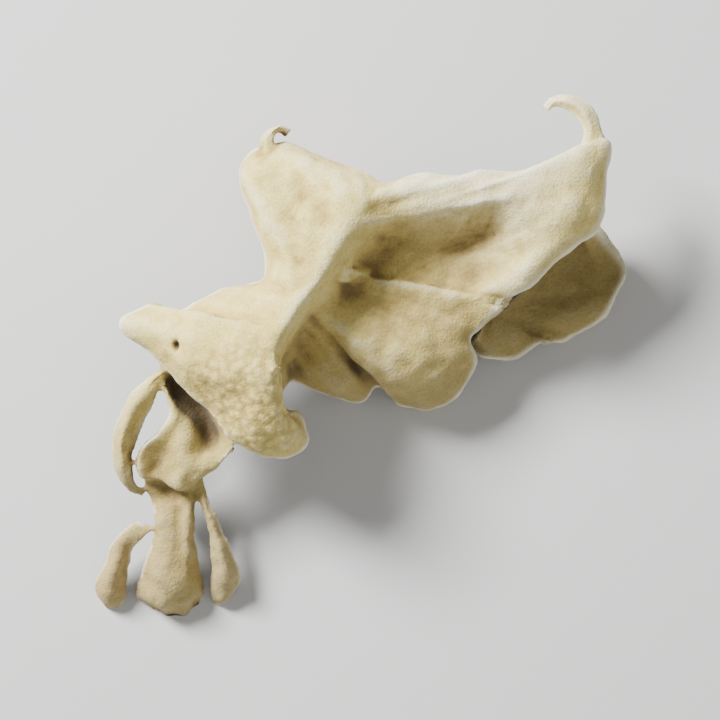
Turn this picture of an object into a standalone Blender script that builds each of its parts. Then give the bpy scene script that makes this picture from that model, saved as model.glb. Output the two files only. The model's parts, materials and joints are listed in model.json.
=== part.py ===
"""A dried wood ear mushroom: one thin, crumpled fruit body that dried in folds.

The ear grew as a single sheet from the stub where it was picked off the wood. Its pale, velvety back faces
up and its black, spore-bearing side faces down, over the hollow that the drying folds closed in.

Frame: metres, +Z up. X runs across the ear from its nose to its wing, Y from the hanging lobes to the top
edge, and the ear lies on Z = 0, on the feet of its own margin.
"""

import math

import bmesh
import bpy
from mathutils import Matrix, Vector

MM = 0.001

# The flesh, and the size of the grains that it is melted into one body with
SHEET_THICKNESS = 0.85 * MM
GRAIN = 0.24 * MM
# How many times the melted skin is relaxed, and the share of its triangles that the facets keep
RELAXING = 6
FACET_SHARE = 0.036
# The folds are eased within this reach of the crest that they all start from
CREST_GROUP = "along_the_crest"
CREST_REACH = 4.0 * MM
CREST_EASING = 3
CREST_SAMPLES = 4
# The solid toe of flesh at the stub
STUB_CENTRE = Vector((-7.1, -7.1, 9.7)) * MM
STUB_RADII = Vector((1.6, 2.6, 1.7)) * MM
STUB_TURN = math.radians(-12.0)
STUB_SEGMENTS = 14

# The bed that the ear lies on, and how far the drawn points move so that the ear's box is centred on it
GROUND_SIZE = (0.10, 0.10, 0.02)
CENTRING = Vector((-0.28, -0.79, 0.0)) * MM
WELD_DISTANCE = 0.02 * MM

VELVET_COLOUR = (0.72, 0.64, 0.47, 1.0)
VELVET_ROUGHNESS = 0.85

# Points sampled between two growth lines, between two heights on one, and along and across a lobe
ACROSS = 3
ALONG = 2
LOBE_ALONG = 2
LOBE_ACROSS = 2

# The crest is the high line over which the left lobe and the hump turn down to the right, in millimetres.
# Every growth line starts on it, at a way along it that counts its points from 0, at its upper end.
CREST = (
    (1.2, 17.2, 15.0),
    (-0.4, 13.6, 15.7),
    (-2.8, 10.0, 15.3),
    (-5.2, 7.2, 15.3),
    (-6.9, 4.0, 16.2),
    (-8.6, 0.4, 16.9),
)
# Each growth line has a height at these shares of its way from the crest to the sheet's visible edge
STATIONS = (0.12, 0.30, 0.50, 0.70, 0.88, 1.00)

# Growth lines, clockwise from above, in millimetres: where each starts on the crest, the edge's x and y,
# the sideways bow, six heights on the way, then how far the lip tucks in and its height
GROWTH_LINES = (
    # the notch between the left lobe and the wing
    (0.00, 2.9, 20.0, 0.0, (15.1, 14.9, 14.5, 13.8, 12.8, 11.4), 0.8, 6.5),
    # the wing: a bright top band, a valley before it, and a ridge across it near the tip
    (0.05, 7.0, 20.6, 0.0, (14.8, 14.6, 14.2, 13.8, 12.9, 11.8), 0.4, 9.0),
    (0.13, 10.4, 20.6, 0.0, (14.5, 14.2, 14.0, 13.8, 13.0, 11.8), 0.3, 9.2),
    (0.22, 13.4, 21.1, 0.0, (14.3, 13.9, 13.8, 13.9, 13.2, 12.2), 0.4, 9.4),
    (0.32, 17.0, 21.0, -0.4, (14.1, 13.8, 13.7, 13.9, 13.3, 12.0), 0.4, 9.6),
    (0.42, 20.4, 21.9, -0.6, (13.9, 13.7, 13.7, 13.9, 13.5, 12.6), 0.4, 10.0),
    (0.56, 26.4, 24.4, -1.4, (13.6, 13.5, 13.7, 13.8, 13.7, 13.0), 0.5, 10.4),
    (0.76, 27.0, 20.4, -0.2, (12.6, 12.8, 13.6, 13.8, 13.4, 11.6), 0.8, 9.2),
    (1.00, 26.3, 16.8, 0.0, (10.6, 10.1, 10.6, 13.0, 13.4, 11.4), 0.6, 9.4),
    (1.15, 25.4, 14.4, 0.0, (10.1, 9.3, 8.9, 12.2, 12.9, 11.3), 0.5, 9.6),
    (1.30, 22.4, 12.0, 0.0, (9.8, 9.2, 8.3, 10.6, 12.6, 11.4), 0.5, 9.6),
    (1.48, 18.8, 9.2, 0.0, (9.7, 9.3, 8.5, 8.9, 11.4, 11.0), 0.5, 9.2),
    (1.64, 15.6, 7.0, -0.5, (9.7, 9.3, 8.9, 8.7, 9.0, 9.4), 0.2, 8.5),
    # past the wing's free rim the sheet runs on under it, and comes out as the lower right lobe
    (1.72, 18.4, 10.2, -1.4, (9.5, 8.4, 7.2, 6.6, 6.2, 5.8), 0.0, 5.2),
    (1.74, 24.6, 15.6, -3.9, (9.4, 8.0, 6.4, 4.8, 4.4, 4.4), 0.0, 3.6),
    (1.76, 27.7, 13.4, -3.3, (9.4, 7.9, 6.2, 3.8, 2.6, 4.4), 0.4, 2.8),
    (1.78, 29.4, 10.6, -2.5, (9.4, 7.8, 6.0, 3.4, 2.6, 4.8), 0.5, 2.4),
    (1.80, 28.5, 7.9, -1.5, (9.4, 7.8, 6.0, 3.4, 2.8, 4.0), 0.4, 1.4),
    (1.82, 27.3, 5.4, -0.6, (9.4, 7.8, 6.0, 3.6, 3.4, 2.8), 0.7, 0.4),
    (1.84, 24.8, 3.7, 0.1, (9.4, 7.8, 6.0, 3.8, 3.2, 2.6), 0.5, 0.4),
    (1.86, 22.5, 2.8, 0.5, (9.4, 7.8, 6.0, 4.0, 3.0, 2.4), 0.3, -0.5),
    (1.88, 20.2, 2.6, 0.8, (9.4, 7.8, 6.0, 4.4, 3.8, 3.6), 0.2, 3.0),
    (1.90, 17.8, 1.1, 1.4, (9.4, 7.8, 6.1, 4.6, 3.6, 2.6), 0.4, 0.8),
    (1.92, 15.4, 0.9, 1.7, (9.4, 7.8, 6.2, 4.8, 3.8, 3.0), 0.3, 1.6),
    (1.94, 13.2, 1.6, 1.6, (9.4, 7.9, 6.3, 5.0, 4.0, 3.2), 0.0, 2.2),
    (1.96, 12.2, 3.4, 1.0, (9.5, 8.0, 6.4, 5.4, 4.6, 3.9), 0.0, 3.2),
    # the middle lobe, low between the hump and the wing, whose right margin lies over the one before
    (2.00, 15.2, 6.9, 0.6, (10.0, 9.9, 9.6, 9.3, 9.3, 9.3), 0.2, 8.4),
    (2.09, 14.1, 4.9, 0.2, (9.9, 9.7, 9.5, 9.2, 9.0, 8.4), 0.3, 7.2),
    (2.18, 12.6, 3.1, 0.0, (9.9, 9.6, 9.4, 9.1, 8.6, 7.4), 0.3, 6.0),
    (2.34, 12.9, 0.4, 0.0, (10.0, 9.8, 9.4, 8.8, 7.8, 6.0), 0.6, 3.6),
    (2.52, 12.1, -2.0, 0.0, (10.4, 10.1, 9.5, 8.6, 7.0, 4.6), 0.7, 1.6),
    (2.68, 10.6, -3.8, 0.0, (10.8, 10.3, 9.6, 8.4, 6.2, 3.6), 0.8, 0.4),
    (2.84, 8.1, -5.0, 0.0, (11.0, 10.5, 9.6, 8.2, 5.8, 3.0), 0.6, -0.3),
    (3.00, 5.4, -4.6, 0.0, (11.2, 10.3, 9.2, 7.6, 5.4, 3.0), 0.8, -0.4),
    (3.14, 3.9, -3.7, 0.0, (11.0, 9.6, 8.2, 6.8, 5.2, 3.6), 0.2, 1.6),
    (3.30, 2.3, -2.2, 0.0, (10.6, 8.9, 7.5, 6.3, 5.4, 4.8), 0.0, 3.8),
    (3.50, 1.0, -4.1, 0.0, (10.2, 8.5, 7.5, 6.8, 5.2, 3.2), 0.4, 0.8),
    (3.80, -1.2, -4.0, 0.0, (9.8, 8.0, 7.3, 6.8, 5.4, 3.2), 0.6, 0.6),
    (4.20, -4.2, -2.7, 0.0, (9.6, 7.6, 6.8, 6.2, 5.2, 4.2), 0.2, 2.6),
    (4.70, -7.2, -1.4, 0.0, (11.4, 8.6, 7.0, 6.2, 5.6, 5.0), 0.0, 4.2),
    # the hump that overhangs it, down to the stub
    (5.00, -7.7, -4.4, 0.0, (16.4, 15.4, 14.0, 12.6, 11.4, 10.2), 0.2, 8.4),
    (5.00, -5.2, -7.4, -1.4, (16.6, 15.8, 14.6, 13.2, 11.8, 9.4), 0.6, 7.0),
    (5.00, -7.2, -9.9, -0.6, (16.7, 16.2, 15.2, 13.8, 12.0, 9.6), 0.6, 7.0),
    (5.00, -12.2, -8.3, -0.4, (17.0, 16.9, 16.0, 14.5, 12.8, 11.2), 0.3, 10.2),
    (5.00, -16.1, -4.5, 0.0, (17.0, 17.0, 16.2, 14.8, 13.0, 11.4), 0.3, 10.4),
    (5.00, -20.4, -0.6, 0.0, (17.0, 16.9, 16.2, 14.9, 13.0, 11.4), 0.3, 10.2),
    # the nose
    (4.80, -24.2, 3.0, 0.0, (16.9, 16.7, 16.0, 14.6, 12.8, 10.6), 0.8, 8.0),
    (4.50, -25.2, 5.0, 0.0, (16.6, 16.3, 15.6, 14.4, 12.8, 10.8), 0.8, 8.0),
    (4.20, -22.6, 6.9, 0.0, (16.3, 15.9, 15.1, 13.9, 12.2, 10.2), 0.6, 7.6),
    (4.00, -19.5, 6.2, 0.0, (16.1, 15.6, 14.8, 13.6, 12.0, 10.6), 0.2, 8.4),
    (3.80, -17.4, 7.0, 0.0, (15.9, 15.4, 14.5, 13.2, 11.6, 9.8), 0.4, 7.4),
    (3.50, -14.6, 8.4, 0.0, (15.6, 15.1, 14.2, 12.8, 11.2, 9.4), 0.4, 7.2),
    (3.20, -11.2, 9.0, 0.0, (15.4, 15.0, 14.1, 12.8, 11.2, 9.6), 0.0, 7.6),
    # the left lobe, whose lip rolls down to a foot behind the ear
    (2.80, -9.9, 9.9, 0.0, (15.3, 15.0, 14.4, 13.4, 11.8, 10.0), 0.2, 7.4),
    (2.40, -9.7, 12.3, 0.0, (15.3, 14.9, 14.4, 13.8, 12.4, 10.4), 0.2, 7.4),
    (2.00, -11.3, 16.2, 0.0, (15.3, 14.8, 14.2, 13.9, 12.6, 10.2), 0.3, 6.4),
    (1.60, -12.8, 19.6, 0.0, (15.5, 14.9, 14.0, 13.6, 12.4, 9.2), 0.6, 4.0),
    (1.30, -13.0, 21.6, 0.0, (15.6, 15.0, 14.0, 13.2, 12.0, 8.6), 0.8, 3.0),
    (1.00, -11.0, 23.8, 0.0, (15.7, 15.1, 14.2, 13.0, 11.4, 8.6), 0.6, 5.0),
    (0.70, -7.9, 24.2, 0.0, (15.7, 15.3, 14.6, 13.4, 11.6, 8.8), 1.2, 2.4),
    (0.40, -4.2, 22.9, 0.0, (15.7, 15.5, 15.0, 13.8, 11.6, 8.0), 1.6, -0.4),
    (0.15, -0.4, 21.5, 0.0, (15.4, 15.3, 14.9, 14.0, 12.2, 9.6), 1.4, 2.6),
)

# Lobes: ribs of points from the left edge to the right one, in millimetres
LOBES = {
    # the fan comes out of the pleat under the hump like a skirt, whose hem hangs over the narrow neck
    "fan": (
        ((-21.2, -0.9, 10.0), (-20.9, -1.0, 10.3), (-20.4, -1.1, 9.9),
         (-20.1, -0.9, 10.0), (-19.8, -0.3, 10.8)),
        ((-20.9, -3.2, 9.4), (-20.2, -3.3, 9.9), (-19.4, -3.0, 8.8),
         (-18.9, -2.4, 8.4), (-18.3, -1.5, 10.8)),
        ((-20.4, -5.0, 9.2), (-19.4, -5.1, 9.5), (-18.4, -4.7, 8.2),
         (-17.4, -3.9, 7.4), (-16.6, -3.0, 10.8)),
        ((-21.6, -7.2, 9.0), (-20.0, -7.2, 8.6), (-18.0, -6.8, 8.6),
         (-16.2, -5.8, 6.8), (-14.9, -4.9, 10.8)),
        ((-23.3, -8.8, 8.4), (-20.8, -9.2, 7.6), (-18.2, -9.0, 8.4),
         (-15.4, -7.8, 6.8), (-13.4, -6.5, 10.7)),
        ((-23.8, -10.8, 7.6), (-21.4, -11.0, 6.8), (-18.8, -11.2, 8.0),
         (-15.6, -9.6, 7.6), (-12.2, -8.0, 9.4)),
        ((-23.4, -12.2, 7.2), (-21.4, -12.4, 6.6), (-19.2, -13.2, 7.4),
         (-16.8, -12.0, 7.4), (-13.2, -8.8, 8.6)),
        ((-23.2, -12.6, 6.2), (-21.2, -12.8, 5.4), (-19.2, -13.4, 6.0),
         (-17.4, -12.8, 6.2), (-15.6, -11.4, 7.0)),
        ((-23.0, -13.4, 5.2), (-21.0, -13.2, 4.9), (-19.4, -13.6, 4.9),
         (-18.0, -13.6, 5.0), (-17.0, -13.0, 5.4)),
        ((-22.6, -15.0, 4.6), (-21.0, -15.0, 5.0), (-19.6, -15.2, 4.6),
         (-18.4, -15.2, 5.0), (-17.6, -14.8, 4.8)),
        ((-22.2, -17.2, 4.2), (-20.9, -17.2, 4.9), (-19.6, -17.3, 4.5),
         (-18.5, -17.2, 4.9), (-17.6, -17.0, 4.2)),
        ((-22.8, -20.2, 3.2), (-21.2, -20.4, 4.4), (-19.8, -20.4, 4.4),
         (-18.4, -20.2, 4.4), (-17.4, -20.0, 3.0)),
        ((-24.0, -22.8, 2.2), (-22.0, -23.2, 4.0), (-20.2, -23.3, 4.3),
         (-18.4, -23.2, 3.8), (-17.0, -22.8, 2.0)),
        ((-24.8, -25.0, 0.8), (-22.8, -25.8, 2.6), (-20.5, -26.1, 3.2),
         (-18.2, -25.8, 2.6), (-16.8, -25.0, 0.8)),
        ((-23.9, -26.2, -0.4), (-22.4, -27.3, -0.4), (-20.6, -27.7, -0.5),
         (-18.6, -27.4, -0.4), (-17.4, -26.6, -0.4)),
    ),
    "left_hanging_lobe": (
        ((-24.2, -17.0, 3.4), (-23.2, -17.2, 4.1), (-22.2, -17.6, 4.2)),
        ((-27.0, -19.1, 3.2), (-25.9, -19.3, 3.8), (-24.6, -19.4, 3.0)),
        ((-27.8, -21.2, 2.2), (-26.4, -21.4, 3.6), (-25.2, -21.4, 2.0)),
        ((-28.9, -23.8, 1.0), (-27.0, -23.9, 3.0), (-25.4, -23.4, 1.4)),
        ((-28.5, -25.4, 0.4), (-27.1, -25.9, 1.6), (-25.8, -25.4, 0.6)),
        ((-27.8, -26.3, -0.4), (-27.2, -26.6, -0.3), (-26.5, -26.4, -0.4)),
    ),
    "right_hanging_lobe": (
        ((-18.0, -13.2, 5.4), (-17.3, -13.0, 5.8), (-16.6, -12.8, 5.8)),
        ((-17.2, -15.4, 5.0), (-16.6, -15.2, 5.6), (-15.9, -15.0, 5.0)),
        ((-16.5, -18.4, 4.0), (-15.6, -18.1, 4.8), (-14.8, -17.7, 4.0)),
        ((-16.2, -21.4, 2.8), (-14.9, -21.1, 4.2), (-13.7, -20.6, 2.8)),
        ((-16.3, -23.8, 1.6), (-14.6, -23.6, 3.2), (-12.7, -23.2, 1.8)),
        ((-16.4, -25.6, 0.6), (-14.9, -25.4, 1.8), (-13.4, -24.6, 1.0)),
        ((-15.8, -26.6, -0.2), (-15.2, -26.5, 0.4), (-14.4, -25.6, 0.4)),
    ),
    # the margin that rolled into a loop beside the fan
    "loop": (
        ((-20.6, 0.6, 10.4), (-20.4, -0.2, 10.9), (-20.2, -1.2, 10.2)),
        ((-22.4, -0.7, 9.8), (-21.9, -1.5, 10.6), (-21.2, -2.6, 9.6)),
        ((-24.3, -2.6, 9.0), (-23.3, -3.3, 10.2), (-22.0, -4.2, 9.0)),
        ((-25.9, -5.0, 8.0), (-24.7, -5.4, 9.6), (-23.1, -5.9, 8.2)),
        ((-26.8, -7.7, 7.0), (-25.5, -7.9, 8.8), (-23.9, -8.0, 7.4)),
        ((-26.8, -10.0, 6.2), (-25.6, -10.2, 7.8), (-24.3, -10.2, 6.8)),
        ((-26.2, -11.9, 5.6), (-25.3, -12.0, 6.8), (-24.3, -11.9, 6.2)),
        ((-25.2, -13.4, 5.0), (-24.6, -13.3, 5.9), (-23.9, -13.0, 5.6)),
        ((-23.6, -14.4, 4.4), (-23.2, -13.9, 4.9), (-22.8, -13.4, 5.0)),
    ),
    # a small curl on the corner of the left lobe
    "corner_curl": (
        ((-11.0, 22.2, 9.6), (-9.5, 22.4, 10.8), (-7.9, 22.6, 10.0)),
        ((-10.9, 24.1, 9.8), (-9.9, 24.4, 11.0), (-8.9, 23.7, 10.8)),
        ((-9.9, 25.8, 10.2), (-9.2, 25.3, 11.3), (-8.7, 24.6, 10.9)),
        ((-8.3, 26.4, 10.2), (-8.2, 25.8, 11.1), (-8.3, 25.0, 10.4)),
        ((-6.9, 25.6, 9.4), (-7.4, 25.1, 10.2), (-7.9, 24.7, 9.4)),
    ),
    # the tip of the wing, curled over like a hook
    "hook": (
        ((23.2, 22.4, 12.4), (25.0, 22.8, 13.0), (26.6, 22.8, 12.2)),
        ((24.0, 24.8, 12.8), (25.0, 25.2, 13.5), (26.0, 25.4, 12.8)),
        ((23.3, 26.4, 13.0), (24.1, 27.2, 13.9), (24.9, 27.8, 13.0)),
        ((21.9, 27.4, 12.8), (22.4, 28.3, 13.9), (22.7, 29.2, 12.8)),
        ((20.9, 27.6, 12.4), (20.8, 28.3, 13.3), (20.5, 29.0, 12.4)),
        ((20.6, 27.1, 11.8), (20.1, 27.4, 12.4), (19.6, 27.9, 11.8)),
    ),
}


def eased(before, start, end, after, share):
    """The point at a share of the way from start to end, on a smooth curve through its neighbours."""
    square = share * share
    cube = square * share
    return 0.5 * (
        2.0 * start
        + (end - before) * share
        + (2.0 * before - 5.0 * start + 4.0 * end - after) * square
        + (3.0 * start - before - 3.0 * end + after) * cube
    )


def resampled(points, steps, closed=False):
    """The points with steps - 1 more between each two, on one smooth curve."""
    count = len(points)
    spans = count if closed else count - 1
    made = []
    for i in range(spans):
        if closed:
            before, start = points[i - 1], points[i]
            end, after = points[(i + 1) % count], points[(i + 2) % count]
        else:
            start, end = points[i], points[i + 1]
            before = points[i - 1] if i else 2.0 * start - end
            after = points[i + 2] if i + 2 < count else 2.0 * end - start
        made += [eased(before, start, end, after, step / steps) for step in range(steps)]
    return made if closed else made + [points[-1].copy()]


def crest_point(way):
    """The point of the crest at a way along it."""
    points = [Vector(point) for point in CREST]
    index = min(int(way), len(points) - 2)
    before = points[index - 1] if index else 2.0 * points[0] - points[1]
    after = points[index + 2] if index + 2 < len(points) else 2.0 * points[-1] - points[-2]
    return eased(before, points[index], points[index + 1], after, way - index)


def growth_line(start, edge_x, edge_y, bow, heights, tuck, lip_height):
    """The points of one growth line, from its start on the crest to the tucked lip."""
    root = crest_point(start)
    run = Vector((edge_x - root.x, edge_y - root.y, 0.0))
    heading = run.normalized()
    aside = Vector((-heading.y, heading.x, 0.0))
    line = [root]
    for share, height in zip(STATIONS, heights):
        place = root + run * share + aside * bow * math.sin(math.pi * share)
        line.append(Vector((place.x, place.y, height)))
    lip = root + run - heading * tuck
    line.append(Vector((lip.x, lip.y, lip_height)))
    return line


def sheet_rings():
    """The rings of the main sheet from the crest outwards, each a closed list of points in metres."""
    lines = [resampled(growth_line(*line), ALONG)[1:] for line in GROWTH_LINES]
    rings = [resampled([line[k] for line in lines], ACROSS, closed=True) for k in range(len(lines[0]))]
    return [[point * MM for point in ring] for ring in rings]


def linked(name, mesh, collection):
    """An object for the mesh, in a collection."""
    thing = bpy.data.objects.new(name, mesh)
    collection.objects.link(thing)
    return thing


def grown(shape, edges):
    """Extrudes edges and returns the new vertex that each old one gave."""
    made = bmesh.ops.extrude_edge_only(shape, edges=edges)["geom"]
    fresh = {item for item in made if isinstance(item, bmesh.types.BMVert)}
    twins = {}
    for vert in {vert for edge in edges for vert in edge.verts}:
        twins[vert] = next(e.other_vert(vert) for e in vert.link_edges if e.other_vert(vert) in fresh)
    return twins


def placed(verts, places):
    """Moves each vertex to its place."""
    for vert, place in zip(verts, places):
        vert.co = place


def face_up(shape):
    """Turns the surface over if its pale side looks down."""
    bmesh.ops.recalc_face_normals(shape, faces=shape.faces)
    if sum(face.normal.z * face.calc_area() for face in shape.faces) < 0.0:
        bmesh.ops.reverse_faces(shape, faces=shape.faces)


def main_sheet(shape):
    """Adds the main sheet: a narrow strip filled in round the crest, extruded ring by ring to the lip."""
    rings = sheet_rings()
    rim = [shape.verts.new(place) for place in rings[0]]
    edges = [shape.edges.new(pair) for pair in zip(rim, rim[1:] + rim[:1])]
    bmesh.ops.triangle_fill(shape, use_beauty=True, edges=edges)
    for ring in rings[1:]:
        twins = grown(shape, [edge for edge in shape.edges if edge.is_boundary])
        rim = [twins[vert] for vert in rim]
        placed(rim, ring)


def lobe(shape, ribs):
    """Adds a lobe, extruded rib by rib."""
    rows = [resampled([Vector(point) * MM for point in rib], LOBE_ACROSS) for rib in ribs]
    columns = [resampled(list(column), LOBE_ALONG) for column in zip(*rows)]
    rows = list(zip(*columns))
    front = [shape.verts.new(place) for place in rows[0]]
    edges = [shape.edges.new(pair) for pair in zip(front, front[1:])]
    for row in rows[1:]:
        twins = grown(shape, edges)
        front = [twins[vert] for vert in front]
        edges = [shape.edges.get(pair) for pair in zip(front, front[1:])]
        placed(front, row)


def pale_surface():
    """The pale side of the whole ear, as open surfaces that meet inside each other's flesh."""
    surface = bpy.data.meshes.new("pale_surface")
    whole = bmesh.new()
    for ribs in (None, *LOBES.values()):
        shape = bmesh.new()
        if ribs is None:
            main_sheet(shape)
        else:
            lobe(shape, ribs)
        face_up(shape)
        shape.to_mesh(surface)
        shape.free()
        whole.from_mesh(surface)
    whole.to_mesh(surface)
    whole.free()
    return surface


def fleshed(thing):
    """Eases the crest, thickens the surface on its black side, and melts all of it into one faceted body."""
    ease = thing.modifiers.new("ease", "SMOOTH")
    ease.vertex_group = CREST_GROUP
    ease.iterations = CREST_EASING
    flesh = thing.modifiers.new("flesh", "SOLIDIFY")
    flesh.thickness = SHEET_THICKNESS
    flesh.offset = -1.0
    melt = thing.modifiers.new("melt", "REMESH")
    melt.mode = "VOXEL"
    melt.voxel_size = GRAIN
    relax = thing.modifiers.new("relax", "SMOOTH")
    relax.iterations = RELAXING
    facets = thing.modifiers.new("facets", "DECIMATE")
    facets.ratio = FACET_SHARE


def pale_velvet():
    """The ivory velvet of the back, which is the side that shows most."""
    velvet = bpy.data.materials.new("pale_velvet")
    velvet.use_nodes = True
    finish = velvet.node_tree.nodes["Principled BSDF"]
    finish.inputs["Base Color"].default_value = VELVET_COLOUR
    finish.inputs["Roughness"].default_value = VELVET_ROUGHNESS
    finish.inputs["Metallic"].default_value = 0.0
    return velvet


def stub():
    """The blunt toe of solid flesh where the ear grew from the wood."""
    shape = bmesh.new()
    bmesh.ops.create_uvsphere(shape, u_segments=STUB_SEGMENTS, v_segments=STUB_SEGMENTS // 2, radius=1.0)
    bmesh.ops.scale(shape, verts=shape.verts, vec=STUB_RADII)
    bmesh.ops.rotate(shape, verts=shape.verts, matrix=Matrix.Rotation(STUB_TURN, 3, "Z"))
    bmesh.ops.translate(shape, verts=shape.verts, vec=STUB_CENTRE)
    mesh = bpy.data.meshes.new("stub")
    shape.to_mesh(mesh)
    shape.free()
    return mesh


def ground():
    """The flat bed that the ear lies on, which presses its lowest folds into feet."""
    shape = bmesh.new()
    bmesh.ops.create_cube(shape, size=1.0)
    bmesh.ops.scale(shape, verts=shape.verts, vec=Vector(GROUND_SIZE))
    bmesh.ops.translate(shape, verts=shape.verts, vec=Vector((0.0, 0.0, -0.5 * GROUND_SIZE[2])))
    mesh = bpy.data.meshes.new("ground")
    shape.to_mesh(mesh)
    shape.free()
    return mesh


def shaped(thing, other, operation):
    """Joins another body to the ear, or takes it away, and keeps that body out of the model."""
    step = thing.modifiers.new(other.name, "BOOLEAN")
    step.operation = operation
    step.solver = "EXACT"
    step.object = other
    other.hide_render = True
    other.display_type = "WIRE"


for old in list(bpy.data.objects):
    bpy.data.objects.remove(old, do_unlink=True)
EAR = bpy.data.collections.new("dried_wood_ear")
CUTTERS = bpy.data.collections.new("cutters")
bpy.context.scene.collection.children.link(EAR)
bpy.context.scene.collection.children.link(CUTTERS)

ear = linked("wood_ear", pale_surface(), EAR)
ear.location = CENTRING
crest = [point * MM for point in resampled([Vector(point) for point in CREST], CREST_SAMPLES)]
near = ear.vertex_groups.new(name=CREST_GROUP)
for vertex in ear.data.vertices:
    away = min((vertex.co - point).length for point in crest)
    near.add([vertex.index], max(0.0, 1.0 - away / CREST_REACH), "REPLACE")
fleshed(ear)
toe = linked("stub", stub(), CUTTERS)
toe.location = CENTRING
shaped(ear, toe, "UNION")
shaped(ear, linked("ground", ground(), CUTTERS), "DIFFERENCE")
weld = ear.modifiers.new("weld", "WELD")
weld.merge_threshold = WELD_DISTANCE
ear.data.materials.append(pale_velvet())
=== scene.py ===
# %% [markdown]
# # A dried wood ear, finished over its solid
# A wood ear is one thin sheet of flesh that grew out of dead wood from a small stub. When it dries, the
# sheet shrinks, crumples and curls. This one lies with its pale, velvety back up and its black side down.
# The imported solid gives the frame: its size, its place and its main folds. This lesson makes the skin that
# is seen.

# %% Load the frame
import json
import math

import bmesh
import bpy
import numpy as np
from mathutils import Matrix, Vector, noise
from mathutils.bvhtree import BVHTree
from mathutils.interpolate import poly_3d_calc
from mathutils.kdtree import KDTree

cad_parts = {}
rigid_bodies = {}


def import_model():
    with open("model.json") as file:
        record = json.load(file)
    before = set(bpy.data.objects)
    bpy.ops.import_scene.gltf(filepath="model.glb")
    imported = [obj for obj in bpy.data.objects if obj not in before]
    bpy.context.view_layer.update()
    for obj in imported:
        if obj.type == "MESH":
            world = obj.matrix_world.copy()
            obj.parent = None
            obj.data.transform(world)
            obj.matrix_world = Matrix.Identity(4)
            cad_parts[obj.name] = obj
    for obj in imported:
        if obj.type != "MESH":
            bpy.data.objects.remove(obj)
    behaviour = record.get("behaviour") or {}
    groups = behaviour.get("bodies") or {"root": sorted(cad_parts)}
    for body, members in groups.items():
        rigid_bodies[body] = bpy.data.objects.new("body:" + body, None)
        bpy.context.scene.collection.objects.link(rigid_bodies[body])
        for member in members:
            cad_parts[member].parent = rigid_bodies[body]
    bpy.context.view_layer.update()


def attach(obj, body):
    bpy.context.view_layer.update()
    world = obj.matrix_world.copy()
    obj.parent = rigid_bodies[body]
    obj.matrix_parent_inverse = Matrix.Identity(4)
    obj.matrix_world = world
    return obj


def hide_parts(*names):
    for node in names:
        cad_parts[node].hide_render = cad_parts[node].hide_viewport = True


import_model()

# %% [markdown]
# ## The folds, drawn as growth lines
# The folds could be sculpted by hand, or left to a cloth simulation. Both are hard to match to a real ear, so
# the same drawn growth lines that shaped the solid are used again, only sampled more finely. Each line runs
# from the crest, the high line where the folds start, out to the edge of the sheet and under its lip.

# %% The sizes that drive the ear
MM = 0.001
SHEET_THICKNESS = 0.85 * MM
# The drawn points move by this much, so that the ear's box is centred on the origin
CENTRING = Vector((-0.28, -0.79, 0.0)) * MM
# The crest is the high line over which the left lobe and the hump turn down to the right, in millimetres.
# Every growth line starts on it, at a way along it that counts its points from 0, at its upper end.
CREST = (
    (1.2, 17.2, 15.0),
    (-0.4, 13.6, 15.7),
    (-2.8, 10.0, 15.3),
    (-5.2, 7.2, 15.3),
    (-6.9, 4.0, 16.2),
    (-8.6, 0.4, 16.9),
)
# Each growth line has a height at these shares of its way from the crest to the sheet's visible edge
STATIONS = (0.12, 0.30, 0.50, 0.70, 0.88, 1.00)
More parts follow.
